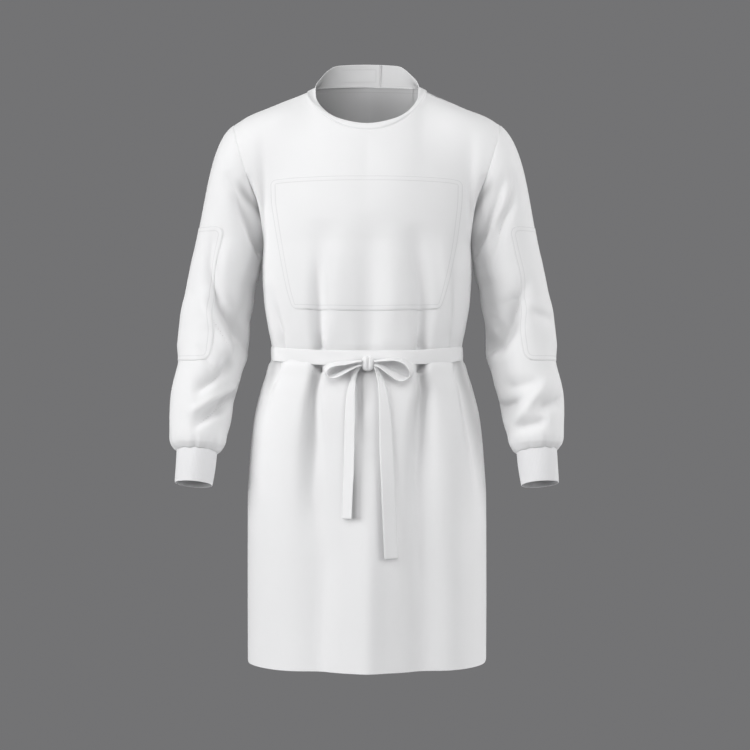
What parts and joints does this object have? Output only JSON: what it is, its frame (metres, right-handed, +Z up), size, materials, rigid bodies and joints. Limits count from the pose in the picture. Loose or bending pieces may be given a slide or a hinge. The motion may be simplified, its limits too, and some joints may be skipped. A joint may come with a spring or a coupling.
{
  "type": "surgical gown",
  "caption": "Long-sleeved surgical gown, knee-length, lapped open back, stand neckband, knit cuffs, chest and sleeve reinforcements and a belt tied in a front bow, hollow as worn.",
  "frame": {"origin": "centre of the neck opening, level with the points where the shoulder seams meet the neckband, where the gown hangs on the shoulders", "axes": "+Z up, front of the gown towards -Y, wearer's left towards +X"},
  "size_m": [0.7396, 0.3175, 1.1423],
  "materials": {
    "gown_cloth": "matte smooth white cloth",
    "reinforcement_cloth": "matte smooth white cloth, double layer",
    "cuff_knit": "fine white rib knit",
    "belt_cloth": "matte smooth white cloth strip"
  },
  "bodies": {
    "root": {"front_panel": "gown_cloth", "back_panel_left": "gown_cloth", "back_panel_right": "gown_cloth", "sleeve_left": "gown_cloth", "sleeve_right": "gown_cloth", "cuff_left": "cuff_knit", "cuff_right": "cuff_knit", "neckband": "gown_cloth", "chest_reinforcement": "reinforcement_cloth", "sleeve_reinforcement_left": "reinforcement_cloth", "sleeve_reinforcement_right": "reinforcement_cloth", "belt": "belt_cloth", "belt_knot": "belt_cloth", "bow_loop_left": "belt_cloth", "bow_loop_right": "belt_cloth", "belt_tail_left": "belt_cloth", "belt_tail_right": "belt_cloth"}
  },
  "joints": []
}
